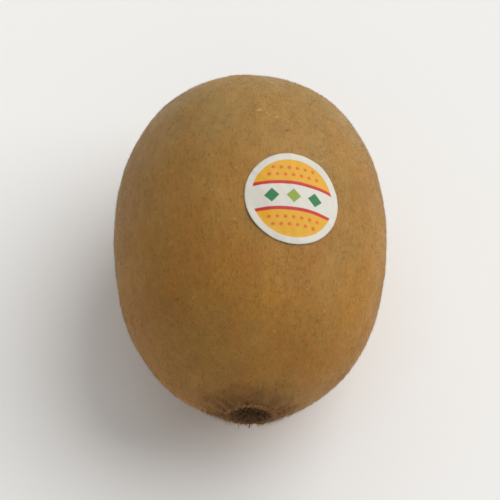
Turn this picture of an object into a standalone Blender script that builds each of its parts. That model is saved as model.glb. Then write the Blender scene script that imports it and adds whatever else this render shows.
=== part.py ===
"""A golden kiwi fruit, whole and as picked, with the round label that is stuck on its skin.

Metres, +Z up. The fruit lies on its broader side, so its long axis is level, along Y.
The stem end points along +Y and the blossom end along -Y.
The origin is on the surface that the fruit lies on, below its middle.
"""

import math

import bmesh
import bpy
from mathutils import Matrix, Vector

# Driving dimensions of the fruit
LENGTH = 0.0710  # pole to pole, before the relief of the two ends
WIDTH = 0.0550  # across the broad side, which lies level
HEIGHT = 0.0520  # across the other side, before the skin is pressed flat below
REST_DEPTH = 0.0005  # how much of the height is pressed flat where the fruit rests
MIDDLE = 0.0008  # the body's middle along Y, which puts the middle of the whole length over the origin

# Form of the skin
FULLNESS = 2.25  # power of the superellipse along the fruit; over 2 the sides are fuller than an ellipse
EGG = 0.030  # the shoulders at the stem end are fuller by this share, and the other end is slimmer
SWELLS = (  # slow swells and flats round the fruit: how many, share of the radius, phase
    (1, 0.004, 2.0),
    (3, 0.006, 0.7),
    (5, 0.003, 2.4),
)

# Relief of each end: distance of the crest from the axis, half width, height along the axis
STEM_RINGS = (
    (0.0, 0.0062, -0.0010),  # the dimple between the shoulders
    (0.0031, 0.0008, 0.0007),  # the corky collar that held the stalk
    (0.0, 0.0010, 0.0008),  # the woody core of the stalk's scar
)
BLOSSOM_RINGS = (
    (0.0, 0.0085, 0.0013),  # the low blunt beak
    (0.0047, 0.0010, 0.0006),  # the ring left round the flower
    (0.0, 0.0034, -0.0014),  # the hollow that the dried styles stand in
)
SEPALS = (  # papery remains of the sepals, pressed on the skin round the collar: place round the axis, size
    (0.35, 1.00),
    (1.55, 0.65),
    (2.95, 0.90),
    (4.05, 0.50),
    (5.30, 0.80),
)
SEPAL_CREST = 0.0058  # their distance from the axis
SEPAL_SPREAD = 0.0017  # half their length, away from the axis
SEPAL_HALF_ANGLE = 0.42  # half their width, round the axis
SEPAL_HEIGHT = 0.0006

# Facets of the skin
SEGMENTS = 64
RINGS = 64
CROWDING = 0.8  # how strongly the rings are drawn in towards the ends, where the relief is

# Dried styles, the bristles in the hollow at the blossom end
STYLE_COUNT = 26
STYLE_SIDES = 4
STYLE_ROOT_RADIUS = 0.00048
STYLE_TIP_RADIUS = 0.00020
STYLE_LENGTH = 0.0026
STYLE_SUNK = 0.0010  # how much of that length is inside the fruit
STYLE_SPREAD = 0.0031  # furthest root from the axis
STYLE_LEAN = (math.radians(12), math.radians(58))  # of the innermost and the outermost
GOLDEN_ANGLE = math.pi * (3 - math.sqrt(5))

# The label
LABEL_POLAR = math.radians(91)  # of its centre, from the stem end
LABEL_AROUND = math.radians(72)  # of its centre, up from the level side at +X
LABEL_RADIUS = 0.0095
LABEL_THICKNESS = 0.00025
LABEL_GAP = 0.0003
LABEL_RINGS = 6
LABEL_STEPS = 40
LABEL_LIFT = 0.010  # the flat disc starts this far off the skin

# Colours, linear
SKIN_COLOUR = (0.392, 0.209, 0.058, 1.0)
LABEL_COLOUR = (0.80, 0.62, 0.22, 1.0)


def clear_scene():
    for thing in list(bpy.data.objects):
        bpy.data.objects.remove(thing)


def make_collection(name):
    collection = bpy.data.collections.new(name)
    bpy.context.scene.collection.children.link(collection)
    return collection


def make_material(name, colour, roughness):
    material = bpy.data.materials.new(name)
    material.use_nodes = True
    shader = material.node_tree.nodes["Principled BSDF"]
    shader.inputs["Base Color"].default_value = colour
    shader.inputs["Roughness"].default_value = roughness
    shader.inputs["Metallic"].default_value = 0.0
    material.diffuse_color = colour
    return material


def make_object(name, shape, collection, material=None):
    """Turns a bmesh into a smooth-shaded object in the collection."""
    mesh = bpy.data.meshes.new(name)
    shape.to_mesh(mesh)
    shape.free()
    mesh.shade_smooth()
    if material:
        mesh.materials.append(material)
    thing = bpy.data.objects.new(name, mesh)
    collection.objects.link(thing)
    return thing


def hump(distance, crest, half_width):
    """1 at the crest, falling away smoothly on both sides."""
    return math.exp(-(((distance - crest) / half_width) ** 2))


def rings_relief(radius, rings):
    """Height along the axis of one end's rings and hollows, at a distance from the axis."""
    return sum(height * hump(radius, crest, half_width) for crest, half_width, height in rings)


def sepal_relief(radius, around):
    """Height of the sepals' remains: low tongues on a ring round the stem's collar."""
    height = 0.0
    for place, size in SEPALS:
        turn = math.remainder(around - place, math.tau)
        height += SEPAL_HEIGHT * size * hump(turn, 0.0, SEPAL_HALF_ANGLE)
    return height * hump(radius, SEPAL_CREST, SEPAL_SPREAD)


def skin_point(polar, around):
    """A point of the skin: polar runs from the stem end to the blossom end, around from +X up to +Z."""
    along = math.cos(polar)
    share = (1 - abs(along) ** FULLNESS) ** (1 / FULLNESS) * (1 + EGG * along)
    for count, swell, phase in SWELLS:
        share *= 1 + swell * math.sin(polar) * math.cos(count * around + phase)
    x = WIDTH / 2 * share * math.cos(around)
    z = HEIGHT / 2 * share * math.sin(around)
    y = LENGTH / 2 * along
    radius = math.hypot(x, z)
    if y > 0:
        y += rings_relief(radius, STEM_RINGS) + sepal_relief(radius, around)
    else:
        y -= rings_relief(radius, BLOSSOM_RINGS)
    return Vector((x, y + MIDDLE, z + HEIGHT / 2 - REST_DEPTH))


def crowded(polar):
    """The polar angle of a ring, once the rings are drawn in towards both ends."""
    return polar - CROWDING / 2 * math.sin(2 * polar)


def blossom_polar(radius):
    """The polar angle of the skin at this distance from the axis, near the blossom end."""
    share = radius / (WIDTH / 2)
    return math.acos(-((1 - share**FULLNESS) ** (1 / FULLNESS)))


def make_fruit(collection, material):
    """The fruit: a sphere drawn out to the formula of the skin, then pressed flat where it rests."""
    shape = bmesh.new()
    bmesh.ops.create_uvsphere(shape, u_segments=SEGMENTS, v_segments=RINGS, radius=1)
    for vertex in shape.verts:
        polar = math.acos(max(-1.0, min(1.0, vertex.co.z)))
        around = math.atan2(vertex.co.y, vertex.co.x)
        vertex.co = skin_point(crowded(polar), around)
    cut = bmesh.ops.bisect_plane(
        shape,
        geom=shape.verts[:] + shape.edges[:] + shape.faces[:],
        plane_co=(0, 0, 0),
        plane_no=(0, 0, -1),
        clear_outer=True,
    )
    rim = [part for part in cut["geom_cut"] if isinstance(part, bmesh.types.BMEdge)]
    bmesh.ops.contextual_create(shape, geom=rim)
    bmesh.ops.recalc_face_normals(shape, faces=shape.faces)
    return make_object("kiwi_fruit", shape, collection, material)


def make_style(index, collection):
    """One dried style, a slim tapered stub that stands in the hollow and leans away from the axis."""
    out = math.sqrt((index + 0.5) / STYLE_COUNT)
    around = index * GOLDEN_ANGLE
    lean = STYLE_LEAN[0] + (STYLE_LEAN[1] - STYLE_LEAN[0]) * out
    sideways = Vector((math.cos(around), 0, math.sin(around)))
    direction = Vector((0, -1, 0)) * math.cos(lean) + sideways * math.sin(lean)
    root = skin_point(blossom_polar(STYLE_SPREAD * out), around)
    middle = root + direction * (STYLE_LENGTH / 2 - STYLE_SUNK)
    shape = bmesh.new()
    bmesh.ops.create_cone(
        shape,
        cap_ends=True,
        segments=STYLE_SIDES,
        radius1=STYLE_ROOT_RADIUS,
        radius2=STYLE_TIP_RADIUS,
        depth=STYLE_LENGTH,
        matrix=Matrix.Translation(middle) @ direction.to_track_quat("Z", "Y").to_matrix().to_4x4(),
    )
    return make_object(f"style_{index:02d}", shape, collection)


def join_styles(fruit):
    """Joins the dried styles to the fruit that they grew from, in one body."""
    stubs = make_collection("Dried styles")
    for index in range(STYLE_COUNT):
        make_style(index, stubs)
    union = fruit.modifiers.new("Join the dried styles", "BOOLEAN")
    union.operation = "UNION"
    union.operand_type = "COLLECTION"
    union.collection = stubs
    union.solver = "EXACT"
    graph = bpy.context.evaluated_depsgraph_get()
    joined = bpy.data.meshes.new_from_object(fruit.evaluated_get(graph))
    joined.name = fruit.name
    fruit.modifiers.remove(union)
    fruit.data = joined
    for stub in list(stubs.objects):
        bpy.data.objects.remove(stub)
    bpy.data.collections.remove(stubs)


def skin_normal(polar, around):
    """The outward direction of the skin, from its slopes along and around the fruit."""
    step = 1e-3
    along = skin_point(polar + step, around) - skin_point(polar - step, around)
    across = skin_point(polar, around + step) - skin_point(polar, around - step)
    return across.cross(along).normalized()


def make_label(fruit, collection, material):
    """The label: a turned flat disc, laid on the skin along its own axis and given a thickness."""
    shape = bmesh.new()
    spoke = [shape.verts.new((LABEL_RADIUS * ring / LABEL_RINGS, 0, 0)) for ring in range(LABEL_RINGS + 1)]
    for inner, outer in zip(spoke, spoke[1:]):
        shape.edges.new((inner, outer))
    label = make_object("fruit_label", shape, collection, material)
    normal = skin_normal(LABEL_POLAR, LABEL_AROUND)
    label.location = skin_point(LABEL_POLAR, LABEL_AROUND) + normal * LABEL_LIFT
    label.rotation_euler = normal.to_track_quat("Z", "Y").to_euler()

    turn = label.modifiers.new("Turn the disc", "SCREW")
    turn.steps = LABEL_STEPS
    turn.render_steps = LABEL_STEPS
    turn.use_merge_vertices = True
    turn.merge_threshold = 0.00001

    lay = label.modifiers.new("Lay it on the skin", "SHRINKWRAP")
    lay.target = fruit
    lay.wrap_method = "PROJECT"
    lay.wrap_mode = "ABOVE_SURFACE"
    lay.use_project_z = True
    lay.use_negative_direction = True
    lay.use_positive_direction = False
    lay.offset = LABEL_GAP

    thicken = label.modifiers.new("Film thickness", "SOLIDIFY")
    thicken.thickness = LABEL_THICKNESS
    thicken.offset = 1
    return label


clear_scene()
parts = make_collection("Golden kiwi fruit")
kiwi_fruit = make_fruit(parts, make_material("Skin", SKIN_COLOUR, 0.6))
join_styles(kiwi_fruit)
make_label(kiwi_fruit, parts, make_material("Label film", LABEL_COLOUR, 0.35))
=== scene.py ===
"""The looks of a whole golden kiwi fruit, lying on its side, with the round label on its skin.

Metres, +Z up. The stem end points along +Y and the blossom end along -Y.
"""

import math

import bpy
import numpy as np
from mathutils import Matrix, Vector


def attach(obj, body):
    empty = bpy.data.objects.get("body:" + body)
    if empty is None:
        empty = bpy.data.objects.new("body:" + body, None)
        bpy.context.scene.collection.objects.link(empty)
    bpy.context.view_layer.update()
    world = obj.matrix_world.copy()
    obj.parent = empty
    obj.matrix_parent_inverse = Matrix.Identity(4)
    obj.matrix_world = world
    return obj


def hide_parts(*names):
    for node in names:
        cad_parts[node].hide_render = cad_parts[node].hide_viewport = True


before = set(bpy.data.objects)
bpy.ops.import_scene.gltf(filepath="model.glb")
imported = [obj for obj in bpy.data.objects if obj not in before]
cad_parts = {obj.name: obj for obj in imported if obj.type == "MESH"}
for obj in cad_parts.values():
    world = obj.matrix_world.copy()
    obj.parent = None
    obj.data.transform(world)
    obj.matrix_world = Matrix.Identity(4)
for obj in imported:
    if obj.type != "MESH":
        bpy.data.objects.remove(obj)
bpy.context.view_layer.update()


# The skin
# The outside of the fruit is one thin tough skin, bronze to tan, dull and slightly velvety. The low relief
# of both ends grew with it. One closed grid follows the fruit's own formula, and is pressed flat where the
# fruit rests.

# The fruit's form, as in its solid
LENGTH = 0.0710  # pole to pole, before the relief of the two ends
WIDTH = 0.0550
HEIGHT = 0.0520
REST_DEPTH = 0.0005  # how much of the height is pressed flat where the fruit rests
MIDDLE = 0.0008  # the body's middle along Y
FULLNESS = 2.25  # power of the superellipse along the fruit; over 2 the sides are fuller than an ellipse
EGG = 0.030  # the shoulders at the stem end are fuller by this share, and the other end is slimmer
SWELLS = ((1, 0.004, 2.0), (3, 0.006, 0.7), (5, 0.003, 2.4))  # how many round the fruit, share, phase
AXIS_HEIGHT = HEIGHT / 2 - REST_DEPTH

# Rings and hollows of each end: distance of the crest from the axis, half width, height along the axis
STEM_RINGS = ((0.0, 0.0062, -0.0010), (0.0031, 0.0008, 0.0007), (0.0, 0.0010, 0.0008))
BLOSSOM_RINGS = ((0.0, 0.0085, 0.0013), (0.0047, 0.0010, 0.0006), (0.0, 0.0034, -0.0014))

# The skin rises a little under the sepals' remains: place round the axis and size, then what they share
SEPALS = ((0.35, 1.00), (1.55, 0.65), (2.95, 0.90), (4.05, 0.50), (5.30, 0.80))
SEPAL_CREST = 0.0058
SEPAL_SPREAD = 0.0017
SEPAL_HALF_ANGLE = 0.42
SEPAL_HEIGHT = 0.0003

# Fine relief that the solid is too coarse for: wavelength, height, number of waves, seed
SKIN_WAVES = ((0.0150, 0.00006, 14, 11), (0.0052, 0.000030, 22, 12), (0.0019, 0.000012, 30, 13))
CORK_WAVE = (0.0011, 0.00010, 36, 14)
CORK_EDGE_WAVE = (0.0026, 0.00018, 24, 15)
STEM_CORK_RELIEF = (0.0046, 0.0034)  # distances from the axis where the cork's relief starts and is full
BLOSSOM_CORK_RELIEF = (0.0062, 0.0048)
PUCKERS = 17  # fine furrows that run in to the ring at the blossom end
PUCKER_DEPTH = 0.00012
PUCKER_RING = (0.0062, 0.0022)  # their distance from the axis, and half their length
PUCKER_SHIFTS = (3, 2.2)  # how often round the axis they shift to and fro, and by how much phase

ROWS = 268
COLUMNS = 340
CROWDING = 0.62  # how strongly the rows are drawn in towards both ends
SLOPE_STEP = 2e-3  # angle over which a slope of the skin is taken
TINY = 1e-15  # added to a length that may be zero, before it divides


def bell(distance, crest, half_width):
    """1 at the crest, falling on both sides as e to the minus square of the distance over the half width."""
    return np.exp(-(((distance - crest) / half_width) ** 2))


def ramp(value, start, end):
    """0 before start, 1 after end, and the smooth cubic 3t2 - 2t3 of the share between them."""
    share = np.clip((value - start) / (end - start), 0, 1)
    return share * share * (3 - 2 * share)


def waves(points, wavelength, height, count, seed):
    """Smooth uneven relief: the sum of plane cosine waves of one length, in random directions and phases."""
    rng = np.random.default_rng(seed)
    ways = rng.normal(size=(3, count))
    ways *= math.tau / wavelength / np.linalg.norm(ways, axis=0)
    return height * math.sqrt(2 / count) * np.cos(points @ ways + rng.uniform(0, math.tau, count)).sum(-1)


def turn_from(around, place):
    """The angle from a place to these angles, from minus half a turn to half a turn."""
    return np.remainder(around - place + math.pi, math.tau) - math.pi


def skin_points(polar, around):
    """Points of the skin, from their angles from the stem end and their angles round from +X up to +Z.

    The distance from the axis is a superellipse of the polar angle, fuller towards the stem end, times slow
    swells round the fruit. Each end rises or sinks along the axis by its rings' bell curves, the sepals'
    places and fine furrows. The waves of the skin and of the cork push every point in or out, and nothing
    goes below the floor.
    """
    along = np.cos(polar)
    share = np.clip(1 - np.abs(along) ** FULLNESS, 0, 1) ** (1 / FULLNESS) * (1 + EGG * along)
    for count, swell, phase in SWELLS:
        share = share * (1 + swell * np.sin(polar) * np.cos(count * around + phase))
    x = WIDTH / 2 * share * np.cos(around)
    z = HEIGHT / 2 * share * np.sin(around)
    y = LENGTH / 2 * along
    radius = np.hypot(x, z)
    stem = sum(height * bell(radius, crest, half_width) for crest, half_width, height in STEM_RINGS)
    for place, size in SEPALS:
        rise = bell(turn_from(around, place), 0, SEPAL_HALF_ANGLE) * bell(radius, SEPAL_CREST, SEPAL_SPREAD)
        stem = stem + SEPAL_HEIGHT * size * rise
    blossom = sum(height * bell(radius, crest, half_width) for crest, half_width, height in BLOSSOM_RINGS)
    shifts, shift = PUCKER_SHIFTS
    furrows = np.cos(PUCKERS * around + shift * np.sin(shifts * around)) * bell(radius, *PUCKER_RING)
    blossom = blossom + PUCKER_DEPTH * furrows
    points = np.stack([x, np.where(y > 0, y + stem, y - blossom), z], -1)

    outward = points / np.array([WIDTH, LENGTH, HEIGHT]) ** 2
    outward /= np.linalg.norm(outward, axis=-1, keepdims=True) + TINY
    push = sum(waves(points, *wave) for wave in SKIN_WAVES)
    cork = np.where(y > 0, ramp(radius, *STEM_CORK_RELIEF), ramp(radius, *BLOSSOM_CORK_RELIEF))
    push = push + cork * waves(points, *CORK_WAVE)
    points = points + outward * push[..., None] + np.array([0, MIDDLE, AXIS_HEIGHT])
    points[..., 2] = np.maximum(points[..., 2], 0)
    return points


def skin_outward(polar, around):
    """The outward direction of the skin, from its slopes along and around the fruit."""
    down = skin_points(polar + SLOPE_STEP, around) - skin_points(polar - SLOPE_STEP, around)
    across = skin_points(polar, around + SLOPE_STEP) - skin_points(polar, around - SLOPE_STEP)
    outward = np.cross(across, down)
    return outward / (np.linalg.norm(outward, axis=-1, keepdims=True) + TINY)


def band_faces(rows, columns):
    """Quads between the rows of a grid whose last column meets its first, as corner numbers."""
    row, column = np.meshgrid(np.arange(rows - 1), np.arange(columns), indexing="ij")
    here = row * columns + column
    beside = row * columns + (column + 1) % columns
    return np.stack([here, beside, beside + columns, here + columns], -1).reshape(-1, 4)


def fan_faces(pole, first, columns, turned):
    """Triangles between a pole and the row of points that starts at number first."""
    here = first + np.arange(columns)
    beside = first + (np.arange(columns) + 1) % columns
    pair = [beside, here] if turned else [here, beside]
    return np.stack([np.full(columns, pole), *pair], -1)


def make_piece(name, points, faces, material):
    """A smooth-shaded object at the origin, its place in its mesh. Faces are arrays of corner numbers."""
    mesh = bpy.data.meshes.new(name)
    corners = [row for block in faces for row in block.tolist()]
    mesh.from_pydata(np.asarray(points).reshape(-1, 3).tolist(), [], corners)
    mesh.shade_smooth()
    mesh.materials.append(material)
    piece = bpy.data.objects.new(name, mesh)
    bpy.context.scene.collection.objects.link(piece)
    return piece


def store(piece, name, values):
    """Keeps one number for each point of the piece, for its material to read."""
    attribute = piece.data.attributes.new(name, "FLOAT", "POINT")
    attribute.data.foreach_set("value", np.asarray(values, np.float32).ravel())


def flat_map(piece, name, places):
    """A flat map of the piece, from a place between 0 and 1 both ways for each corner of each face."""
    layer = piece.data.uv_layers.new(name=name)
    layer.uv.foreach_set("vector", np.asarray(places, np.float32).ravel())


def shade(red, green, blue):
    """A linear colour from the 0 to 255 values that a screen shows, by the screen's 2.4 power curve."""
    return [((level / 255 + 0.055) / 1.055) ** 2.4 for level in (red, green, blue)] + [1.0]


def feed(tree, node, inputs):
    """Gives a node's inputs their plain values, or the outputs that feed them. Returns the node."""
    for key, value in inputs.items():
        if isinstance(value, bpy.types.NodeSocket):
            tree.links.new(value, node.inputs[key])
        else:
            node.inputs[key].default_value = value
    return node


def add(tree, kind, inputs=None, **settings):
    """Adds a shader node with these settings and inputs. Returns the node."""
    node = tree.nodes.new(kind)
    for key, value in settings.items():
        setattr(node, key, value)
    return feed(tree, node, inputs or {})


def maths(tree, operation, first, second=0.0, clamp=False):
    """The output of one Math node."""
    inputs = {0: first, 1: second}
    return add(tree, "ShaderNodeMath", inputs, operation=operation, use_clamp=clamp).outputs[0]


def times(tree, first, second):
    """The product of two values."""
    return maths(tree, "MULTIPLY", first, second)


def vector_maths(tree, operation, inputs, output):
    """One output of a Vector Math node."""
    return add(tree, "ShaderNodeVectorMath", inputs, operation=operation).outputs[output]


def stretched(tree, vector, scale):
    """The vector with each of its three parts scaled."""
    return add(tree, "ShaderNodeMapping", {"Vector": vector, "Scale": scale}).outputs["Vector"]


def spread(tree, value, start, end, least=0.0, most=1.0):
    """A smooth Map Range node: least up to start, most from end on. It holds the value between those two."""
    inputs = {"Value": value, "From Min": start, "From Max": end, "To Min": least, "To Max": most}
    return add(tree, "ShaderNodeMapRange", inputs, interpolation_type="SMOOTHSTEP").outputs["Result"]


def noise(tree, vector, scale, detail=2.0, roughness=0.5):
    """The height output of a Noise Texture node, about 0.25 to 0.75."""
    inputs = {"Vector": vector, "Scale": scale, "Detail": detail, "Roughness": roughness}
    return add(tree, "ShaderNodeTexNoise", inputs).outputs["Fac"]


def clouds(tree, vector, start, end, least=0.0, most=1.0, **pattern):
    """A noise pattern, spread: least where the noise is up to start, most where it is from end on."""
    return spread(tree, noise(tree, vector, **pattern), start, end, least, most)


def blend(tree, share, first, second, mode="MIX"):
    """The colour output of a Mix node."""
    inputs = {0: share, 6: first, 7: second}
    return add(tree, "ShaderNodeMix", inputs, data_type="RGBA", blend_type=mode).outputs[2]


def bumped(tree, height, strength, distance):
    """The normal of a surface that rises by the distance where the height is 1."""
    inputs = {"Height": height, "Strength": strength, "Distance": distance}
    return add(tree, "ShaderNodeBump", inputs).outputs["Normal"]


def object_place(tree):
    """The place on the piece, in its own coordinates."""
    return add(tree, "ShaderNodeTexCoord").outputs["Object"]


def stored(tree, name):
    """The number that a piece keeps for each point under this name."""
    return add(tree, "ShaderNodeAttribute", attribute_name=name).outputs["Fac"]


def new_group(name, inputs, output):
    """A shader node group with these inputs, each a number or a vector, and one output that is a number.

    Returns its tree, its input node and its output node.
    """
    tree = bpy.data.node_groups.new(name, "ShaderNodeTree")
    for socket, value in inputs.items():
        kind = "NodeSocketFloat" if isinstance(value, float) else "NodeSocketVector"
        tree.interface.new_socket(socket, in_out="INPUT", socket_type=kind).default_value = value
    tree.interface.new_socket(output, in_out="OUTPUT", socket_type="NodeSocketFloat")
    return tree, tree.nodes.new("NodeGroupInput"), tree.nodes.new("NodeGroupOutput")


def use(tree, group, inputs, output):
    """Places a node group in a material with its own values. Returns one output."""
    return add(tree, "ShaderNodeGroup", inputs, node_tree=group).outputs[output]


def new_material(name):
    """A material with its Principled BSDF. Returns the material, its tree and the shader."""
    material = bpy.data.materials.new(name)
    material.use_nodes = True
    return material, material.node_tree, material.node_tree.nodes["Principled BSDF"]


# Specks: small round spots of uneven size, scattered on the cells of a Voronoi pattern
SPECK_LEAST = 0.35  # radius of the smallest ones, as a share of the size asked for
SPECK_FULL = 0.45  # share of its radius within which a speck is solid

speck_inputs = {"Vector": (0, 0, 0), "Scale": 700.0, "Size": 0.3, "Share": 0.5}
specks, taken, given = new_group("Specks", speck_inputs, "Mask")
cell_inputs = {"Vector": taken.outputs["Vector"], "Scale": taken.outputs["Scale"], "Randomness": 1.0}
cells = add(specks, "ShaderNodeTexVoronoi", cell_inputs)
chance = add(specks, "ShaderNodeSeparateColor", {"Color": cells.outputs["Color"]})
chosen = maths(specks, "LESS_THAN", chance.outputs["Red"], taken.outputs["Share"])
reach = times(specks, taken.outputs["Size"], maths(specks, "ADD", chance.outputs["Green"], SPECK_LEAST))
inside = maths(specks, "DIVIDE", cells.outputs["Distance"], reach)
spot = spread(specks, inside, 1.0, SPECK_FULL)
specks.links.new(times(specks, chosen, spot), given.inputs["Mask"])

# Grain: an even fine roughness in two sizes, as a height
COARSE_SHARE = 0.6

grain_inputs = {"Vector": (0, 0, 0), "Coarse": 700.0, "Fine": 2200.0}
grain, taken, given = new_group("Grain", grain_inputs, "Height")
coarse = noise(grain, taken.outputs["Vector"], taken.outputs["Coarse"], detail=3.0, roughness=0.55)
fine = noise(grain, taken.outputs["Vector"], taken.outputs["Fine"], detail=3.0, roughness=0.6)
both = maths(grain, "ADD", times(grain, coarse, COARSE_SHARE), times(grain, fine, 1 - COARSE_SHARE))
grain.links.new(both, given.inputs["Height"])

# Scar: a ragged line or spot on the skin, from its middle to both ends of its half length
RAGGED = dict(scale=1500.0, detail=3.0, roughness=0.65, start=0.3, end=0.7, least=0.45, most=1.6)
SCAR_FULL = 0.5  # share of its width within which a scar is solid

scar_inputs = {"Vector": (0, 0, 0), "Middle": (0, 0, 0), "Half length": (0.001, 0, 0), "Width": 0.0004}
scar, taken, given = new_group("Scar", scar_inputs, "Mask")
away = vector_maths(scar, "SUBTRACT", {0: taken.outputs["Vector"], 1: taken.outputs["Middle"]}, "Vector")
reach = taken.outputs["Half length"]
forward = vector_maths(scar, "DOT_PRODUCT", {0: away, 1: reach}, "Value")
square = vector_maths(scar, "DOT_PRODUCT", {0: reach, 1: reach}, "Value")
held = {"Value": maths(scar, "DIVIDE", forward, square), "Min": -1.0, "Max": 1.0}
share = add(scar, "ShaderNodeClamp", held).outputs[0]
nearest = vector_maths(scar, "SCALE", {0: reach, "Scale": share}, "Vector")
gap = vector_maths(scar, "DISTANCE", {0: away, 1: nearest}, "Value")
ragged_gap = times(scar, gap, clouds(scar, taken.outputs["Vector"], **RAGGED))
inside = maths(scar, "DIVIDE", ragged_gap, taken.outputs["Width"])
scar.links.new(spread(scar, inside, 1.0, SCAR_FULL), given.inputs["Mask"])

SKIN_TAN = shade(166, 117, 46)
SKIN_OLIVE = shade(151, 122, 70)
SKIN_RUSSET = shade(156, 98, 38)
SKIN_DEEP = shade(98, 60, 22)
SKIN_PALE = shade(190, 150, 88)
SKIN_SHEEN = shade(246, 226, 184)
CORK_PALE = shade(166, 122, 70)
CORK_BROWN = shade(118, 78, 38)
CORK_DARK = shade(58, 34, 14)

# Patterns of the skin. Streaks are drawn out along the fruit, because their scale along Y is smaller.
STREAKED = (1.0, 0.45, 1.0)
FINELY_STREAKED = (1.0, 0.22, 1.0)
OLIVE_CLOUDS = dict(scale=50.0, detail=2.0, roughness=0.5, start=0.32, end=0.70, least=0.05, most=0.46)
OLIVE_ALONG = dict(start=-0.022, end=0.032, least=-0.12, most=0.56)  # more of it towards the stem end
RUSSET_STREAKS = dict(scale=130.0, detail=4.0, roughness=0.6, start=0.40, end=0.70, least=0.0, most=0.42)
RUSSET_ALONG = dict(start=-0.024, end=0.030, least=1.25, most=0.50)
MOTTLE = dict(scale=520.0, detail=5.0, roughness=0.65, start=0.32, end=0.70, least=0.90, most=1.07)
STRANDS = dict(scale=2300.0, detail=3.0, roughness=0.6, start=0.34, end=0.68, least=0.94, most=1.05)
FLECKS = {"Scale": 2100.0, "Size": 0.46, "Share": 0.55}
LENTICELS = {"Scale": 640.0, "Size": 0.20, "Share": 0.34}
CORK_TONES = dict(scale=1500.0, detail=5.0, roughness=0.7, start=0.32, end=0.68)
CORK_FRAYING = dict(scale=1100.0, detail=4.0, roughness=0.65)
SKIN_DULLNESS = dict(scale=300.0, detail=3.0, roughness=0.6, start=0.3, end=0.7, least=0.50, most=0.66)
SKIN_GRAIN = {"Coarse": 620.0, "Fine": 2100.0}

# How strongly each of them colours the skin
FLECK_SHARE = 0.24
LENTICEL_SHARE = 0.40
TIP_SHARE = 0.60
PALE_MARK_AND_GLINT_SHARE = 0.6
DARK_MARK_SHARE = 0.5
CORK_CONTRAST = 0.45
CORK_TO_BROWN = (0.0, 0.55)  # lightness over which the cork goes from dark to brown, then from brown to pale
CORK_TO_PALE = (0.5, 1.1)
FRAY_SHARE = 0.7
CORK_EDGE = (0.60, 1.0)

# Heights in the bump, over the grain's
FLECK_RISE = 0.22
DARK_MARK_DEPTH = 0.5
CORK_RISE = 1.2

# Marks of handling and wind rub, and three pale dots of painted glint: middle as angles from the stem end
# and around, half length, width, kind
SCARS = (
    # The first three pale ones, on the upper shoulder near the stem end, are painted glints.
    (1.00, 1.50, (0.0002, 0.0002, 0.0), 0.00044, "pale"),
    (1.02, 1.44, (0.0001, 0.0001, 0.0), 0.00022, "pale"),
    (1.05, 1.36, (0.0004, 0.0002, 0.0), 0.00030, "pale"),
    (1.15, 1.29, (0.0001, 0.0002, 0.0), 0.00028, "dark"),
    (1.05, 2.25, (0.0007, 0.0009, 0.0), 0.00026, "dark"),
    (2.15, 2.20, (0.0020, 0.0007, 0.0), 0.00026, "dark"),
    (1.30, 3.00, (0.0002, 0.0010, 0.0005), 0.00036, "pale"),
    (1.75, 4.00, (0.0010, 0.0025, 0.0), 0.00040, "dark"),
    (1.00, 5.60, (0.0, 0.0016, 0.0014), 0.00040, "dark"),
    (2.30, 5.90, (0.0, 0.0010, 0.0016), 0.00045, "pale"),
)

skin_material, tree, shader = new_material("Bronze skin")
place = object_place(tree)
lengthwise = stretched(tree, place, STREAKED)
along = add(tree, "ShaderNodeSeparateXYZ", {"Vector": place}).outputs["Y"]

olive_share = maths(
    tree, "ADD", clouds(tree, place, **OLIVE_CLOUDS), spread(tree, along, **OLIVE_ALONG), clamp=True
)
colour = blend(tree, olive_share, SKIN_TAN, SKIN_OLIVE)
russet_share = times(tree, clouds(tree, lengthwise, **RUSSET_STREAKS), spread(tree, along, **RUSSET_ALONG))
colour = blend(tree, russet_share, colour, SKIN_RUSSET)
colour = blend(tree, 1.0, colour, clouds(tree, lengthwise, **MOTTLE), "MULTIPLY")
strands = clouds(tree, stretched(tree, place, FINELY_STREAKED), **STRANDS)
colour = blend(tree, 1.0, colour, strands, "MULTIPLY")
flecks = use(tree, specks, {"Vector": lengthwise, **FLECKS}, "Mask")
colour = blend(tree, times(tree, flecks, FLECK_SHARE), colour, SKIN_DEEP)
lenticels = use(tree, specks, {"Vector": place, **LENTICELS}, "Mask")
colour = blend(tree, times(tree, lenticels, LENTICEL_SHARE), colour, SKIN_PALE)
colour = blend(tree, times(tree, stored(tree, "tip"), TIP_SHARE), colour, SKIN_DEEP)
marks = {"pale": 0.0, "dark": 0.0}
for polar_place, around_place, reach, width, kind in SCARS:
    middle = skin_points(polar_place, around_place).tolist()
    mark = use(tree, scar, {"Vector": place, "Middle": middle, "Half length": reach, "Width": width}, "Mask")
    marks[kind] = maths(tree, "ADD", mark, marks[kind], clamp=True)
# Pale marks of wear, and three painted glints on the upper shoulder
colour = blend(tree, times(tree, marks["pale"], PALE_MARK_AND_GLINT_SHARE), colour, SKIN_PALE)
colour = blend(tree, times(tree, marks["dark"], DARK_MARK_SHARE), colour, SKIN_DEEP)

cork_tone = clouds(tree, place, **CORK_TONES)
cork_change = times(tree, maths(tree, "SUBTRACT", cork_tone, 0.5), CORK_CONTRAST)
lightness = maths(tree, "ADD", stored(tree, "cork_light"), cork_change)
cork_colour = blend(tree, spread(tree, lightness, *CORK_TO_BROWN), CORK_DARK, CORK_BROWN)
cork_colour = blend(tree, spread(tree, lightness, *CORK_TO_PALE), cork_colour, CORK_PALE)
frayed = times(tree, noise(tree, place, **CORK_FRAYING), FRAY_SHARE)
cork_mask = spread(tree, maths(tree, "ADD", stored(tree, "cork"), frayed), *CORK_EDGE)
colour = blend(tree, cork_mask, colour, cork_colour)

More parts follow.
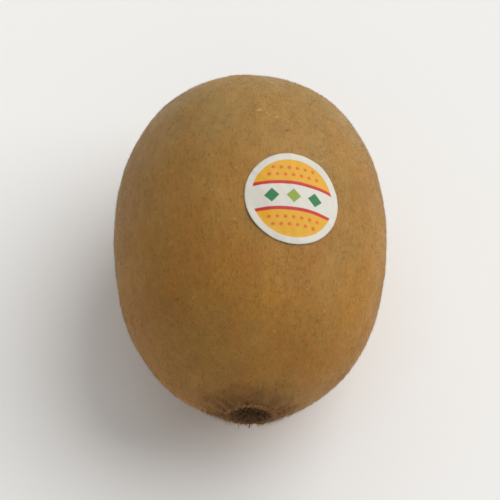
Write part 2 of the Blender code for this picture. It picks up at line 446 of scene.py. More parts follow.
height = use(tree, grain, {"Vector": place, **SKIN_GRAIN}, "Height")
height = maths(tree, "ADD", height, times(tree, flecks, FLECK_RISE))
height = maths(tree, "SUBTRACT", height, times(tree, marks["dark"], DARK_MARK_DEPTH))
height = maths(tree, "ADD", height, times(tree, cork_mask, times(tree, cork_tone, CORK_RISE)))
skin_finish = {
    "Base Color": colour,
    "Roughness": clouds(tree, place, **SKIN_DULLNESS),
    "Normal": bumped(tree, height, strength=0.38, distance=0.00022),
    "IOR": 1.42,
    "Specular IOR Level": 0.30,
    "Sheen Weight": 0.09,
    "Sheen Roughness": 0.45,
    "Sheen Tint": SKIN_SHEEN,
}
feed(tree, shader, skin_finish)

row_share = (np.arange(ROWS) + 1) / (ROWS + 1) * math.pi
row_polar = row_share - CROWDING / 2 * np.sin(2 * row_share)
column_around = np.arange(COLUMNS) / COLUMNS * math.tau
polar, around = np.meshgrid(row_polar, column_around, indexing="ij")
rows_of_points = skin_points(polar, around).reshape(-1, 3)
poles = skin_points(np.array([0.0, math.pi]), np.array([0.0, 0.0]))
skin_places = np.concatenate([rows_of_points, poles])
stem_pole = ROWS * COLUMNS
skin_faces = [
    band_faces(ROWS, COLUMNS),
    fan_faces(stem_pole, 0, COLUMNS, turned=True),
    fan_faces(stem_pole + 1, (ROWS - 1) * COLUMNS, COLUMNS, turned=False),
]
skin = make_piece("kiwi_skin", skin_places, skin_faces, skin_material)

# The flat map for the skin's colours runs once round the fruit across, and from pole to pole upward. A
# face over the seam ends at 1, and each pole's corner lies midway between the other two.
BAKE_MAP = "OFBake"
round_share = np.concatenate([np.tile(column_around / math.tau, ROWS), [np.nan, np.nan]])
pole_share = np.concatenate([np.repeat(row_share / math.pi, COLUMNS), [0.0, 1.0]])
flat_places = []
for faces in skin_faces:
    flat_across = round_share[faces]
    over_seam = np.nanmax(flat_across, axis=1) - np.nanmin(flat_across, axis=1) > 0.5
    flat_across = np.where(over_seam[:, None] & (flat_across < 0.5), flat_across + 1, flat_across)
    flat_across = np.where(np.isnan(flat_across), np.nanmean(flat_across, axis=1)[:, None], flat_across)
    flat_places.append(np.stack([flat_across, pole_share[faces]], -1).reshape(-1, 2))
flat_map(skin, BAKE_MAP, np.concatenate(flat_places))

# Where the skin turns to cork, how light the cork is, and where the skin round it is browner
CORK_RIMS = (0.0042, 0.0056)  # distance from the axis at the stem end, and at the blossom end
CORK_RIM_HALF = 0.0007
TIP_RIMS = (0.0090, 0.0120)
TIP_UNEVEN = 3  # the browner skin's edge is this much more uneven than the cork's
STEM_LIGHTS = ((0.80, 0.0, 0.0010), (0.55, 0.0033, 0.0007))  # lightness, distance from the axis, half width
STEM_LEAST_LIGHT = 0.12
BLOSSOM_LIGHT = (0.62, 0.0049, 0.0009)
BLOSSOM_LEAST_LIGHT = 0.10

from_axis = np.hypot(skin_places[:, 0], skin_places[:, 2] - AXIS_HEIGHT)
at_stem = skin_places[:, 1] > 0
uneven = waves(skin_places, *CORK_EDGE_WAVE)
cork_rim = np.where(at_stem, *CORK_RIMS)
tip_rim = np.where(at_stem, *TIP_RIMS)
stem_light = STEM_LEAST_LIGHT + sum(light * bell(from_axis, *ring) for light, *ring in STEM_LIGHTS)
blossom_light = BLOSSOM_LEAST_LIGHT + BLOSSOM_LIGHT[0] * bell(from_axis, *BLOSSOM_LIGHT[1:])
store(skin, "cork", ramp(from_axis + uneven, cork_rim + CORK_RIM_HALF, cork_rim - CORK_RIM_HALF))
store(skin, "cork_light", np.where(at_stem, stem_light, blossom_light))
store(skin, "tip", ramp(from_axis + TIP_UNEVEN * uneven, tip_rim, cork_rim))
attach(skin, "root")
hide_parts("kiwi_fruit")


# The dried styles
# The crown of dead styles stays in the hollow at the blossom end: stiff dark threads, each thicker at its
# root and clubbed at its tip. They grew from the fruit, in the golden-angle order of a flower, and splay
# outward.

STYLE_COUNT = 64
STYLE_SPREAD = 0.0031  # furthest root from the axis
STYLE_LENGTHS = (0.0012, 0.0024)
STYLE_SUNK = 0.0006  # how far inside the skin each one starts
STYLE_ROOT_RADIUS = 0.00017
STYLE_RADIUS_SHARES = (0.75, 1.15)
STYLE_TAPER = 0.50
STYLE_CLUB = 0.35
STYLE_TURN_SPREAD = 0.12  # how far each is off its place round the axis, in radians
STYLE_LEAN = 10  # degrees away from the axis, of the innermost
STYLE_LEAN_RISE = 52  # how much more the outermost leans
STYLE_LEAN_SPREAD = 14
STYLE_SWING_SPREAD = 0.55  # how far off straight outward each leans, in radians
STYLE_CURL = 70  # bend per metre, any way
STYLE_OUTWARD_CURL = 120  # most bend per metre away from the axis
STYLE_SIDES = 7
STYLE_RINGS = 11
STYLE_SEED = 21
STYLE_BROWN = shade(66, 40, 18)
STYLE_STRAW = shade(146, 104, 56)
STYLE_PATCHES = dict(scale=1500.0, detail=4.0, roughness=0.65, start=0.32, end=0.68, least=0.45, most=1.0)
STYLE_GRAIN = {"Coarse": 2500.0, "Fine": 6000.0}
GOLDEN_ANGLE = math.pi * (3 - math.sqrt(5))

ACROSS_THREADS = (0.31, 0.17, 0.93)  # a thread's first side is square to this and to its run
CLUB_PLACE = (0.93, 0.09)  # middle and half width of the club, as shares of the thread
CAP_RISE = 0.6  # height of the tip's point, as a share of the tip's radius
THREAD_TONES = (0.3, 1.0)  # each thread has its own tone between these
ROOT_TONE = 0.25  # at its root, as a share of its own


def polar_at(radius):
    """The angle of the skin from the nearer end, at this distance from the axis."""
    return np.arccos((1 - (radius / (WIDTH / 2)) ** FULLNESS) ** (1 / FULLNESS))


def threads(roots, ways, bends, lengths, radii, sides, rings, taper, club):
    """Closed tubes along bent lines, in one set of points and faces.

    The line is root + way * s + bend * s squared, with s from 0 to the length. The radius falls from 1 to
    1 - taper of the root's, and swells by the club share near the tip. A point caps each end.
    """
    share = np.linspace(0, 1, rings)
    run = lengths[:, None] * share
    line = roots[:, None] + ways[:, None] * run[..., None] + bends[:, None] * (run**2)[..., None]
    heading = ways[:, None] + 2 * bends[:, None] * run[..., None]
    heading /= np.linalg.norm(heading, axis=-1, keepdims=True)
    side = np.cross(heading, np.array(ACROSS_THREADS))
    side /= np.linalg.norm(side, axis=-1, keepdims=True)
    other = np.cross(heading, side)
    size = radii[:, None] * (1 - taper * share) * (1 + club * bell(share, *CLUB_PLACE))
    turn = np.arange(sides) / sides * math.tau
    spokes = side[:, :, None] * np.cos(turn)[:, None] + other[:, :, None] * np.sin(turn)[:, None]
    tube = line[:, :, None] + spokes * size[:, :, None, None]
    count = len(roots)
    caps = np.stack([line[:, 0], line[:, -1] + heading[:, -1] * size[:, -1:] * CAP_RISE], 1)
    points = np.concatenate([tube.reshape(count, -1, 3), caps], 1)
    each = rings * sides
    quads = band_faces(rings, sides)
    root_end = fan_faces(each, 0, sides, turned=True)
    tip_end = fan_faces(each + 1, (rings - 1) * sides, sides, turned=False)
    ends = np.concatenate([root_end, tip_end])
    first = (np.arange(count) * (each + 2))[:, None, None]
    return points.reshape(-1, 3), [(quads + first).reshape(-1, 4), (ends + first).reshape(-1, 3)]


def thread_tones(count, sides, rings, rng):
    """One tone for each point of the threads: the thread's own, times a rise from its root to its tip."""
    own = rng.uniform(*THREAD_TONES, count)[:, None]
    rise = ROOT_TONE + (1 - ROOT_TONE) * np.linspace(0, 1, rings)
    tube = np.repeat(own * rise, sides, axis=1)
    return np.concatenate([tube, own * rise[0], own * rise[-1]], 1)


style_material, tree, shader = new_material("Dried styles")
place = object_place(tree)
straw_share = times(tree, stored(tree, "tone"), clouds(tree, place, **STYLE_PATCHES))
height = use(tree, grain, {"Vector": place, **STYLE_GRAIN}, "Height")
style_finish = {
    "Base Color": blend(tree, straw_share, STYLE_BROWN, STYLE_STRAW),
    "Normal": bumped(tree, height, strength=0.5, distance=0.00008),
    "Roughness": 0.62,
    "Specular IOR Level": 0.2,
}
feed(tree, shader, style_finish)

rng = np.random.default_rng(STYLE_SEED)
order = np.arange(STYLE_COUNT)
out = np.sqrt((order + 0.5) / STYLE_COUNT)
around_style = order * GOLDEN_ANGLE + rng.normal(0, STYLE_TURN_SPREAD, STYLE_COUNT)
roots = skin_points(math.pi - polar_at(STYLE_SPREAD * out), around_style)
lean = np.radians(STYLE_LEAN + STYLE_LEAN_RISE * out + rng.normal(0, STYLE_LEAN_SPREAD, STYLE_COUNT))
swing = around_style + rng.normal(0, STYLE_SWING_SPREAD, STYLE_COUNT)
sideways = np.stack([np.cos(swing), np.zeros(STYLE_COUNT), np.sin(swing)], -1)
ways = np.array([0, -1, 0]) * np.cos(lean)[:, None] + sideways * np.sin(lean)[:, None]
lengths = rng.uniform(*STYLE_LENGTHS, STYLE_COUNT)
curl = rng.normal(0, 1, (STYLE_COUNT, 3)) * STYLE_CURL
curl = curl + sideways * rng.uniform(0, STYLE_OUTWARD_CURL, STYLE_COUNT)[:, None]
style_points, style_faces = threads(
    roots - ways * STYLE_SUNK,
    ways,
    curl,
    lengths,
    STYLE_ROOT_RADIUS * rng.uniform(*STYLE_RADIUS_SHARES, STYLE_COUNT),
    STYLE_SIDES,
    STYLE_RINGS,
    STYLE_TAPER,
    STYLE_CLUB,
)
styles = make_piece("dried_styles", style_points, style_faces, style_material)
store(styles, "tone", thread_tones(STYLE_COUNT, STYLE_SIDES, STYLE_RINGS, rng))
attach(styles, "root")


# The sepals' remains
# What is left of five sepals stays pressed on the skin round the stalk's scar: short thin brown flaps,
# papery, with fine ribs and a torn end that curls up a little. Solidify gives each its thickness.

FLAP_START = 0.0037  # distance from the axis
FLAP_LENGTH = 0.0027
FLAP_HALF_WIDTH = 0.0021
FLAP_LEAST_LENGTH = 0.15  # shares of the length and of the width that a sepal of size 0 would keep
FLAP_LEAST_WIDTH = 0.55
FLAP_ROUNDING = 0.22  # how much shorter each is at its sides than in its middle
FLAP_TAPER = 0.30
FLAP_TAPER_POWER = 1.5
FLAP_TURN_SPREAD = 0.12  # how far each turns aside towards its tip, in radians
FLAP_GATHER = 0.0006  # its root is drawn in as if it were this much further from the axis
FLAP_THICKNESS = 0.00013
FLAP_ROWS = 30
FLAP_COLUMNS = 49
FLAP_SEED = 40  # of the first one, and one more for each next

# The torn edge: four cosines by their frequency and size, their scale and the middle of their sum
TEAR_FREQUENCIES = (2.6, 6.2, 14.6, 32.0)
TEAR_SIZES = (0.34, 0.26, 0.16, 0.10)
TEAR_DEPTH = 0.42
TEAR_MIDDLE = 0.76
SIDE_TEAR = 0.10  # share of it that shows on the sides
SIDE_TEAR_SHIFT = 0.1  # how far each side's is shifted from the middle, one forward and one back

# How each flap stands off the skin, and the powers of its curls
FLAP_GAP = 0.00010
TIP_CURLS = (0.00025, 0.00070)
TIP_POWER = 2.5
SIDE_CURL = 0.00012
SIDE_POWER = 3
FLAP_WAVE = (2.6, 0.00010)  # frequency and height
FLAP_RIBS = 9
RIB_HEIGHT = 0.00003

FLAP_BROWN = shade(140, 98, 50)
FLAP_DARK = shade(84, 52, 24)
FLAP_TONES = dict(scale=1600.0, detail=4.0, roughness=0.6, start=0.30, end=0.70)
FLAP_GRAIN = {"Coarse": 1800.0, "Fine": 5000.0}
RIB_VALLEY = 0.55  # brown that is left between the ribs
DARK_EDGE = (0.84, 1.0)  # shares of the flap between which its edge darkens
DARK_EDGE_SHARE = 0.6
TIP_EDGE = 1.02  # the share is this much higher towards the tip, so that the dark edge is wider there


def torn(place, rng):
    """An uneven edge of about 0.4 to 1.1: the sum of four cosines of rising frequency and falling size."""
    phases = rng.uniform(0, math.tau, len(TEAR_SIZES))
    ripples = np.array(TEAR_SIZES) * np.cos(np.array(TEAR_FREQUENCIES) * place[..., None] + phases)
    return TEAR_MIDDLE + TEAR_DEPTH * ripples.sum(-1)


flap_material, tree, shader = new_material("Dry sepal")
place = object_place(tree)
rib_tone = maths(tree, "ADD", stored(tree, "rib"), RIB_VALLEY)
brown_share = maths(tree, "MULTIPLY", clouds(tree, place, **FLAP_TONES), rib_tone, clamp=True)
colour = blend(tree, brown_share, FLAP_DARK, FLAP_BROWN)
height = use(tree, grain, {"Vector": place, **FLAP_GRAIN}, "Height")
flap_finish = {
    "Base Color": blend(tree, times(tree, stored(tree, "edge"), DARK_EDGE_SHARE), colour, FLAP_DARK),
    "Normal": bumped(tree, height, strength=0.5, distance=0.00012),
    "Roughness": 0.8,
    "Specular IOR Level": 0.2,
}
feed(tree, shader, flap_finish)

ahead, aside = np.meshgrid(np.linspace(0, 1, FLAP_ROWS), np.linspace(-1, 1, FLAP_COLUMNS), indexing="ij")
here = np.arange((FLAP_ROWS - 1) * FLAP_COLUMNS).reshape(FLAP_ROWS - 1, FLAP_COLUMNS)[:, :-1].ravel()
flap_faces = np.stack([here, here + 1, here + 1 + FLAP_COLUMNS, here + FLAP_COLUMNS], -1)
for number, (flap_place, flap_size) in enumerate(SEPALS):
    rng = np.random.default_rng(FLAP_SEED + number)
    reach = FLAP_LENGTH * (FLAP_LEAST_LENGTH + (1 - FLAP_LEAST_LENGTH) * flap_size)
    reach = reach * torn(aside, rng) * (1 - FLAP_ROUNDING * aside**2)
    half_width = FLAP_HALF_WIDTH * (FLAP_LEAST_WIDTH + (1 - FLAP_LEAST_WIDTH) * flap_size)
    half_width = half_width * (1 - FLAP_TAPER * ahead**FLAP_TAPER_POWER)
    half_width = half_width * (1 + SIDE_TEAR * (torn(ahead + aside * SIDE_TEAR_SHIFT, rng) - TEAR_MIDDLE))
    distance = FLAP_START + reach * ahead
    turn = flap_place + rng.normal(0, FLAP_TURN_SPREAD) * ahead
    turn = turn + aside * half_width / (distance + FLAP_GATHER * (1 - ahead))
    ribs = 0.5 + 0.5 * np.cos(FLAP_RIBS * math.pi * aside + rng.uniform(0, math.tau))
    lift = FLAP_GAP + rng.uniform(*TIP_CURLS) * ahead**TIP_POWER + SIDE_CURL * np.abs(aside) ** SIDE_POWER
    wave = np.cos(FLAP_WAVE[0] * aside + rng.uniform(0, math.tau))
    lift = lift + FLAP_WAVE[1] * wave * ahead + RIB_HEIGHT * ribs
    polar = polar_at(distance)
    flap_points = skin_points(polar, turn) + skin_outward(polar, turn) * lift[..., None]
    flap = make_piece(f"dry_sepal_{number + 1}", flap_points, [flap_faces], flap_material)
    store(flap, "edge", ramp(np.maximum(np.abs(aside), ahead * TIP_EDGE), *DARK_EDGE))
    store(flap, "rib", ribs)
    leaf = flap.modifiers.new("Flap thickness", "SOLIDIFY")
    leaf.thickness = FLAP_THICKNESS
    leaf.offset = -1
    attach(flap, "root")


# The stamens' stubs
# Short stiff dark threads, all that is left of the flower's stamens. They grew from the fruit in an uneven
# ring just outside the collar of the stalk's scar.

STAMEN_COUNT = 46
STAMEN_CRESTS = (0.0036, 0.0042)  # distances from the axis
STAMEN_TURN_SPREAD = 0.05
STAMEN_LENGTHS = (0.0003, 0.0010)
STAMEN_SUNK = 0.0003
STAMEN_RADII = (0.00008, 0.00015)
STAMEN_TAPER = 0.5
STAMEN_LEANS = (0.1, 1.3)  # away from the axis, over the way out of the skin
STAMEN_WAY_SPREAD = 0.25
STAMEN_CURL = 90
STAMEN_SIDES = 6
STAMEN_RINGS = 7
STAMEN_SEED = 31

rng = np.random.default_rng(STAMEN_SEED)
turn = np.arange(STAMEN_COUNT) / STAMEN_COUNT * math.tau + rng.normal(0, STAMEN_TURN_SPREAD, STAMEN_COUNT)
polar = polar_at(rng.uniform(*STAMEN_CRESTS, STAMEN_COUNT))
outward = skin_outward(polar, turn)
sideways = np.stack([np.cos(turn), np.zeros(STAMEN_COUNT), np.sin(turn)], -1)
ways = outward + sideways * rng.uniform(*STAMEN_LEANS, STAMEN_COUNT)[:, None]
ways = ways + rng.normal(0, STAMEN_WAY_SPREAD, (STAMEN_COUNT, 3))
ways /= np.linalg.norm(ways, axis=-1, keepdims=True)
stamen_points, stamen_faces = threads(
    skin_points(polar, turn) - ways * STAMEN_SUNK,
    ways,
    rng.normal(0, STAMEN_CURL, (STAMEN_COUNT, 3)),
    STAMEN_SUNK + rng.uniform(*STAMEN_LENGTHS, STAMEN_COUNT),
    rng.uniform(*STAMEN_RADII, STAMEN_COUNT),
    STAMEN_SIDES,
    STAMEN_RINGS,
    STAMEN_TAPER,
    club=0.0,
)
stamens = make_piece("stamen_stubs", stamen_points, stamen_faces, style_material)
store(stamens, "tone", thread_tones(STAMEN_COUNT, STAMEN_SIDES, STAMEN_RINGS, rng))
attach(stamens, "root")


# The label
# A round satin film, printed and stuck on by its whole back. It follows the skin and lifts a little at its
# rim. The disc is laid on the skin along its own axis, and Solidify gives it the film's thickness.

LABEL_POLAR = math.radians(91)  # place of its centre, from the stem end
LABEL_AROUND = math.radians(72)  # and up from the level side at +X
LABEL_RADIUS = 0.0095
LABEL_GAP = 0.00010
LABEL_THICKNESS = 0.00009
LABEL_RINGS = 44
LABEL_STEPS = 240
RIM_LIFTS = ((0.9, 0.00016, 0.30), (3.7, 0.00022, 0.24), (5.2, 0.00012, 0.40))  # place, height, half width
RIM_LIFT_START = 0.80  # share of the radius
# Short creases that run in from the rim, by place and half width, and their height and start
CREASES = ((0.25, 0.05), (1.35, 0.07), (1.62, 0.04), (2.55, 0.06), (4.15, 0.05), (4.55, 0.07), (5.80, 0.05))
CREASE_LIFT = 0.00009
CREASE_START = 0.66
LAYING_STEPS = 6
ANGLE_STEP = 1e-4  # angle over which each of them takes the skin's slopes

LABEL_WHITE = shade(208, 204, 193)
LABEL_GOLD = shade(216, 160, 34)
LABEL_RED = shade(188, 42, 44)
LABEL_ORANGE = shade(206, 106, 28)
LABEL_GREENS = (shade(36, 116, 64), shade(134, 156, 62), shade(36, 116, 64))

# Sizes of the print, as shares of the label's radius
PRINT_RIM = 0.86
BAND_HALF = 0.25
BAND_ARCH = 0.16
ARCH_DROP = BAND_ARCH / 4  # keeps the arched band in the middle
LINE_WIDTH = 0.075
LOZENGE_PLACES = (-0.46, 0.0, 0.46)
LOZENGE_HALF = 0.155
DOT_ROWS = ((0.47, 0.0, 0.60), (0.63, 0.5, 0.51))  # from the band's middle, shift in pitches, furthest out
DOT_PITCH = 0.17
DOT_RADIUS = 0.040
PRINT_BLUR = 0.01  # half the width over which one colour gives way to the next
FINE_BLUR = 0.008

LABEL_RIPPLES = dict(scale=260.0, detail=3.0, roughness=0.55)
LABEL_DULLNESS = dict(scale=500.0, start=0.3, end=0.7, least=0.34, most=0.46)

centre = skin_points(LABEL_POLAR, LABEL_AROUND)
facing = skin_outward(LABEL_POLAR, LABEL_AROUND)
upward = np.array([0.0, 1.0, 0.0]) - facing * facing[1]
upward /= np.linalg.norm(upward)
disc_axes = np.stack([np.cross(upward, facing), upward], -1)


def laid_on_skin(disc_places):
    """The two angles of the skin straight below the places of a flat disc, found by Newton's steps."""
    angles = np.tile([LABEL_POLAR, LABEL_AROUND], (len(disc_places), 1))
    for _ in range(LAYING_STEPS):
        polar, around = angles.T
        here = skin_points(polar, around)
        by_polar = skin_points(polar + ANGLE_STEP, around) - here
        by_around = skin_points(polar, around + ANGLE_STEP) - here
        slopes = np.stack([by_polar @ disc_axes, by_around @ disc_axes], -1) / ANGLE_STEP
        miss = disc_places - (here - centre) @ disc_axes
        angles = angles + np.linalg.solve(slopes, miss[..., None])[..., 0]
    return angles.T


def edged(tree, value, edge, blur=PRINT_BLUR):
    """1 where the value is past the edge and 0 before it, with a soft change within the blur on both sides.

    A blur below 0 turns the two round.
    """
    return spread(tree, value, edge - blur, edge + blur)


label_material, tree, shader = new_material("Printed label")
uv = add(tree, "ShaderNodeUVMap", uv_map="disc").outputs["UV"]
centred = {"Vector": uv, "Location": (-1, -1, 0), "Scale": (2, 2, 1)}
spot = add(tree, "ShaderNodeMapping", centred).outputs["Vector"]
axes = add(tree, "ShaderNodeSeparateXYZ", {"Vector": spot})
across = axes.outputs["X"]
arch = times(tree, maths(tree, "POWER", maths(tree, "ABSOLUTE", across), 2.0), BAND_ARCH)
level = maths(tree, "ADD", axes.outputs["Y"], maths(tree, "SUBTRACT", arch, ARCH_DROP))
off_band = maths(tree, "ABSOLUTE", level)
colour = blend(tree, edged(tree, off_band, BAND_HALF), LABEL_WHITE, LABEL_RED)
colour = blend(tree, edged(tree, off_band, BAND_HALF + LINE_WIDTH), colour, LABEL_GOLD)
for row, shift, furthest in DOT_ROWS:
    pitches = maths(tree, "ADD", maths(tree, "DIVIDE", across, DOT_PITCH), shift + 0.5)
    beside = times(tree, maths(tree, "SUBTRACT", maths(tree, "FRACT", pitches), 0.5), DOT_PITCH)
    off_row = maths(tree, "SUBTRACT", off_band, row)
    from_dot = add(tree, "ShaderNodeCombineXYZ", {"X": beside, "Y": off_row}).outputs["Vector"]
    in_dot = edged(tree, vector_maths(tree, "LENGTH", {0: from_dot}, "Value"), DOT_RADIUS, -FINE_BLUR)
    shown = maths(tree, "LESS_THAN", maths(tree, "ABSOLUTE", across), furthest)
    colour = blend(tree, times(tree, in_dot, shown), colour, LABEL_ORANGE)
for lozenge, green in zip(LOZENGE_PLACES, LABEL_GREENS):
    beside = maths(tree, "ABSOLUTE", maths(tree, "SUBTRACT", across, lozenge))
    in_lozenge = edged(tree, maths(tree, "ADD", beside, off_band), LOZENGE_HALF, -PRINT_BLUR)
    colour = blend(tree, in_lozenge, colour, green)
from_centre = vector_maths(tree, "LENGTH", {0: spot}, "Value")
place = object_place(tree)
label_finish = {
    "Base Color": blend(tree, edged(tree, from_centre, PRINT_RIM, FINE_BLUR), colour, LABEL_WHITE),
    "Normal": bumped(tree, noise(tree, place, **LABEL_RIPPLES), strength=0.25, distance=0.0003),
    "Roughness": clouds(tree, place, **LABEL_DULLNESS),
    "Specular IOR Level": 0.20,
    "Coat Weight": 0.10,
    "Coat Roughness": 0.20,
}
feed(tree, shader, label_finish)

ring = (np.arange(LABEL_RINGS) + 1) / LABEL_RINGS * LABEL_RADIUS
step_around = np.arange(LABEL_STEPS) / LABEL_STEPS * math.tau
reach, turn = np.meshgrid(ring, step_around, indexing="ij")
rings_of_places = np.stack([reach * np.cos(turn), reach * np.sin(turn)], -1).reshape(-1, 2)
disc_places = np.concatenate([[[0.0, 0.0]], rings_of_places])
polar, around = laid_on_skin(disc_places)
from_middle = np.hypot(*disc_places.T) / LABEL_RADIUS
bearing = np.arctan2(disc_places[:, 1], disc_places[:, 0])
lift = np.full(len(disc_places), LABEL_GAP)
for lift_place, height, half_width in RIM_LIFTS:
    raised = bell(turn_from(bearing, lift_place), 0, half_width) * ramp(from_middle, RIM_LIFT_START, 1)
    lift = lift + height * raised
for crease_place, half_width in CREASES:
    creased = bell(turn_from(bearing, crease_place), 0, half_width) * ramp(from_middle, CREASE_START, 1)
    lift = lift + CREASE_LIFT * creased
label_points = skin_points(polar, around) + skin_outward(polar, around) * lift[:, None]
label_faces = [band_faces(LABEL_RINGS, LABEL_STEPS)[:, ::-1] + 1, fan_faces(0, 1, LABEL_STEPS, turned=False)]
label = make_piece("label", label_points, label_faces, label_material)
disc_map = disc_places / (2 * LABEL_RADIUS) + 0.5
flat_map(label, "disc", np.concatenate([disc_map[faces].reshape(-1, 2) for faces in label_faces]))
film = label.modifiers.new("Film thickness", "SOLIDIFY")
film.thickness = LABEL_THICKNESS
film.offset = 1
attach(label, "root")
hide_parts("fruit_label")


# The down
# Most of the fruit's short hair is rubbed off in packing. What is left is a sparse pale down, pressed
# towards the blossom end, longer and browner round both ends. Each hair is a closed needle of four
# triangles, rooted in the skin.

HAIR_TRIES = 76000  # places that are tried; thin patches, the label and the floor leave some bare
HAIR_LENGTHS = (0.00030, 0.00080)
HAIR_RADII = (0.000014, 0.000024)
HAIR_SUNK = 0.00006
HAIR_CLEAR_OF_LABEL = 0.0002
HAIR_CLEAR_OF_FLOOR = 0.0002
HAIR_CLEAR_OF_AXIS = 0.0036
HAIR_SEED = 51
HAIR_CORNERS = 4  # three round the root and one at the tip
HAIR_PALE = shade(200, 158, 92)
HAIR_BROWN = shade(124, 78, 32)
ACROSS_HAIRS = (0.27, 0.51, 0.82)  # a hair's first side is square to this and to its run

# Share of the places that hold a hair
DOWN_SHARE = 0.62
DOWN_PATCHES = (0.012, 0.20, 16, 52)  # wavelength, height, number of waves, seed
DOWN_AT_ENDS = 0.5
DOWN_LEAST = 0.15
STEM_END = (0.0120, 0.0050)  # distances from the axis over which an end comes in
BLOSSOM_END = (0.0140, 0.0060)
END_LENGTHENING = 1.4

# How the hairs lie, in radians: turned aside in swirls and each by itself, and leaning over from upright
SWIRLS = (0.020, 0.7, 10, 53)
SWIRL_SPREAD = 0.45
HAIR_LEAN = 1.17
HAIR_LEAN_SPREAD = 0.20
HAIR_LEAN_LIMITS = (0.3, 1.42)
HAIR_RISE = 0.37  # how much less they lean at the ends
LAY_STEP = 0.01  # angle over which the way to the blossom end is taken

# Tones from pale to brown
HAIR_TONE = 0.35
HAIR_TONE_SPREAD = 0.25
HAIR_TONE_RISE = 0.45  # how much browner they are at the ends


def needles(roots, ways, lengths, radii, turns):
    """Closed thin needles: three corners round the root, a third of a turn apart, and one tip.

    The tip is at root + way * length.
    """
    side = np.cross(ways, np.array(ACROSS_HAIRS))
    side /= np.linalg.norm(side, axis=-1, keepdims=True)
    other = np.cross(ways, side)
    angles = turns[:, None] + np.arange(3) * math.tau / 3
    spokes = side[:, None] * np.cos(angles)[..., None] + other[:, None] * np.sin(angles)[..., None]
    corners = roots[:, None] + spokes * radii[:, None, None]
    points = np.concatenate([corners, (roots + ways * lengths[:, None])[:, None]], 1)
    faces = np.array([[0, 1, 3], [1, 2, 3], [2, 0, 3], [0, 2, 1]])
    first = np.arange(len(roots))[:, None, None] * HAIR_CORNERS
    return points.reshape(-1, 3), (faces + first).reshape(-1, 3)


down_material, tree, shader = new_material("Down")
down_finish = {
    "Base Color": blend(tree, stored(tree, "tone"), HAIR_PALE, HAIR_BROWN),
    "Roughness": 0.6,
    "Specular IOR Level": 0.15,
}
feed(tree, shader, down_finish)

rng = np.random.default_rng(HAIR_SEED)
polar = np.arccos(rng.uniform(-1, 1, HAIR_TRIES))
around = rng.uniform(0, math.tau, HAIR_TRIES)
places = skin_points(polar, around)
from_axis = np.hypot(places[:, 0], places[:, 2] - AXIS_HEIGHT)
near_end = np.where(places[:, 1] > 0, ramp(from_axis, *STEM_END), ramp(from_axis, *BLOSSOM_END))
held_share = DOWN_SHARE + waves(places, *DOWN_PATCHES) + DOWN_AT_ENDS * near_end
kept = rng.random(HAIR_TRIES) < np.clip(held_share, DOWN_LEAST, 1)
kept &= np.linalg.norm(places - centre, axis=-1) > LABEL_RADIUS + HAIR_CLEAR_OF_LABEL
kept &= from_axis > HAIR_CLEAR_OF_AXIS
polar, around, places, near_end = polar[kept], around[kept], places[kept], near_end[kept]
outward = skin_outward(polar, around)
towards = skin_points(polar + LAY_STEP, around) - places
towards /= np.linalg.norm(towards, axis=-1, keepdims=True)
cross = np.cross(outward, towards)
swirl = waves(places, *SWIRLS) + rng.normal(0, SWIRL_SPREAD, len(places))
lean = rng.normal(HAIR_LEAN, HAIR_LEAN_SPREAD, len(places)) - HAIR_RISE * near_end
lean = np.clip(lean, *HAIR_LEAN_LIMITS)
flat_way = towards * np.cos(swirl)[:, None] + cross * np.sin(swirl)[:, None]
ways = outward * np.cos(lean)[:, None] + flat_way * np.sin(lean)[:, None]
lengths = rng.uniform(*HAIR_LENGTHS, len(places)) * (1 + END_LENGTHENING * near_end)
tips = places + ways * lengths[:, None]
clear = (tips[:, 2] > HAIR_CLEAR_OF_FLOOR) & (places[:, 2] > HAIR_CLEAR_OF_FLOOR)
count = int(clear.sum())
hair_points, hair_faces = needles(
    places[clear] - ways[clear] * HAIR_SUNK,
    ways[clear],
    lengths[clear] + HAIR_SUNK,
    rng.uniform(*HAIR_RADII, count),
    rng.uniform(0, math.tau, count),
)
down = make_piece("down", hair_points, [hair_faces], down_material)
hair_tones = rng.normal(HAIR_TONE, HAIR_TONE_SPREAD, count) + HAIR_TONE_RISE * near_end[clear]
hair_tones = np.repeat(np.clip(hair_tones, 0, 1), HAIR_CORNERS)
store(down, "tone", hair_tones)

# On the flat map of the down, each hair is an upright spike, placed across by its tone
MAP_MARGIN = 0.02
HAIR_MAP_HALF = 0.004  # half of one hair's width
ROOT_MAP_HEIGHT = 0.04  # of the middle one of its three root corners, over the other two
flat_across = MAP_MARGIN + (1 - 2 * MAP_MARGIN) * hair_tones
flat_across = flat_across + np.tile([-HAIR_MAP_HALF, 0, HAIR_MAP_HALF, 0], count)
flat_up = np.tile([MAP_MARGIN, MAP_MARGIN + ROOT_MAP_HEIGHT, MAP_MARGIN, 1 - MAP_MARGIN], count)
flat_map(down, BAKE_MAP, np.stack([flat_across, flat_up], -1)[hair_faces.ravel()])
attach(down, "root")


# The floor
# A plain pale sheet under the fruit, which isn't part of it. One quad at the height that the fruit rests at.

FLOOR_HALF = 2.5
FLOOR_TONE = (0.92, 0.915, 0.90, 1.0)

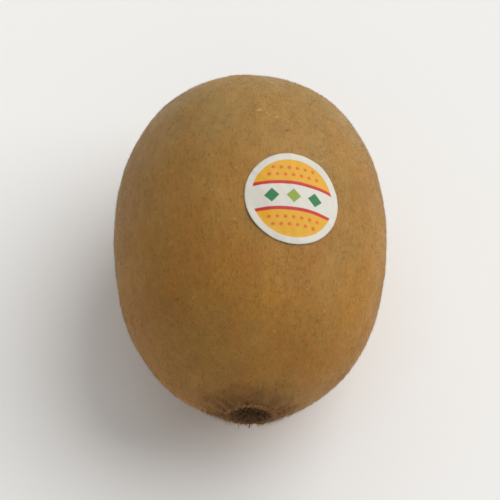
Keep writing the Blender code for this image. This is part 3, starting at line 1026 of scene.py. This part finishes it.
floor_material, tree, shader = new_material("Pale floor")
feed(tree, shader, {"Base Color": FLOOR_TONE, "Roughness": 0.75})
corners = np.array([[-1, -1, 0], [1, -1, 0], [1, 1, 0], [-1, 1, 0]]) * FLOOR_HALF
floor = make_piece("floor", corners, [np.array([[0, 1, 2, 3]])], floor_material)


# The studio light
# One broad soft key from the right and a little behind, weaker ones from behind and from the front, and an
# even pale surround. The lamps are distant, so only their direction counts.

# Name, the way it shines from, its width in degrees of the sky, strength
SOFT_LIGHTS = (
    ("key", (0.65, 0.36, 0.65), 64, 2.30),
    ("back", (-0.10, 0.80, 0.60), 60, 0.40),
    ("fill", (0.10, -0.85, 0.45), 60, 0.08),
)
SURROUND_TONE = (1.0, 0.99, 0.97, 1.0)
SURROUND_STRENGTH = 0.38

for name, way, width, strength in SOFT_LIGHTS:
    lamp = bpy.data.lights.new(name, "SUN")
    lamp.angle = math.radians(width)
    lamp.energy = strength
    light = bpy.data.objects.new(name, lamp)
    light.rotation_euler = Vector(way).to_track_quat("Z", "Y").to_euler()
    bpy.context.scene.collection.objects.link(light)
world = bpy.data.worlds.new("Surround")
world.use_nodes = True
surround = {"Color": SURROUND_TONE, "Strength": SURROUND_STRENGTH}
feed(world.node_tree, world.node_tree.nodes["Background"], surround)
bpy.context.scene.world = world
bpy.context.scene.view_settings.view_transform = "Standard"


# The camera
# It looks down on the fruit along its length, the blossom end towards it, from about arm's length.

FRUIT_MIDDLE = (0.0, 0.0, AXIS_HEIGHT)
CAMERA_ELEVATION = math.radians(66)
CAMERA_DISTANCE = 0.52
CAMERA_LENS = 185.0
CAMERA_NEAR = 0.01

lens = bpy.data.cameras.new("camera")
lens.lens = CAMERA_LENS
lens.clip_start = CAMERA_NEAR
camera = bpy.data.objects.new("camera", lens)
back = Vector((0.0, -math.cos(CAMERA_ELEVATION), math.sin(CAMERA_ELEVATION)))
camera.location = Vector(FRUIT_MIDDLE) + back * CAMERA_DISTANCE
camera.rotation_euler = (-back).to_track_quat("-Z", "Y").to_euler()
bpy.context.scene.collection.objects.link(camera)
bpy.context.scene.camera = camera
